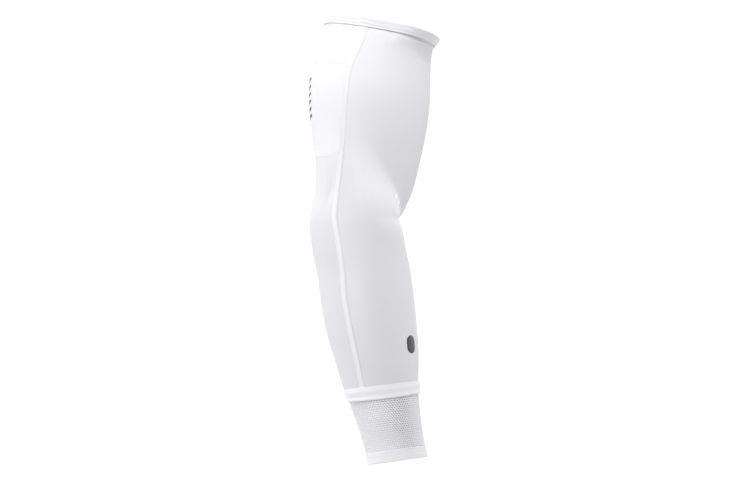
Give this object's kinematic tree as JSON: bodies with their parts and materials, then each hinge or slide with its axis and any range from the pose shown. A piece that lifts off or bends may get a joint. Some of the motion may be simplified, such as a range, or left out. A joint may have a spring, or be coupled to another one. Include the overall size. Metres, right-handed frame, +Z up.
{
  "type": "compression arm sleeve",
  "caption": "Full-length knitted sports sleeve for a slightly bent arm, with taped side seams, a patch pocket behind the upper arm and a net cuff at the wrist.",
  "frame": {"origin": "middle of the upper rim's opening, where the upper arm goes in", "axes": "+Z up the arm towards the shoulder, +X towards the front of the arm, -Y towards its outer side"},
  "size_m": [0.1252, 0.1028, 0.4258],
  "materials": {
    "knit": "fine smooth white jersey with a soft sheen",
    "pocket_knit": "fine smooth white jersey, a little closer knitted",
    "band": "doubled white jersey with rows of stitching",
    "tape": "smooth white seam tape",
    "net": "white warp-knitted net with fine holes",
    "print": "dark grey reflective transfer film, satin"
  },
  "bodies": {
    "root": {"top_band_front": "band", "top_band_back": "band", "front_panel": "knit", "back_panel": "knit", "back_pocket": "pocket_knit", "outer_seam_tape": "tape", "inner_seam_tape": "tape", "wrist_band": "band", "net_cuff": "net", "wrist_hem": "band", "reflective_dash_1": "print", "reflective_dash_2": "print", "reflective_dash_3": "print", "reflective_dash_4": "print", "reflective_dash_5": "print", "reflective_dash_6": "print", "reflective_bar": "print"}
  },
  "joints": []
}
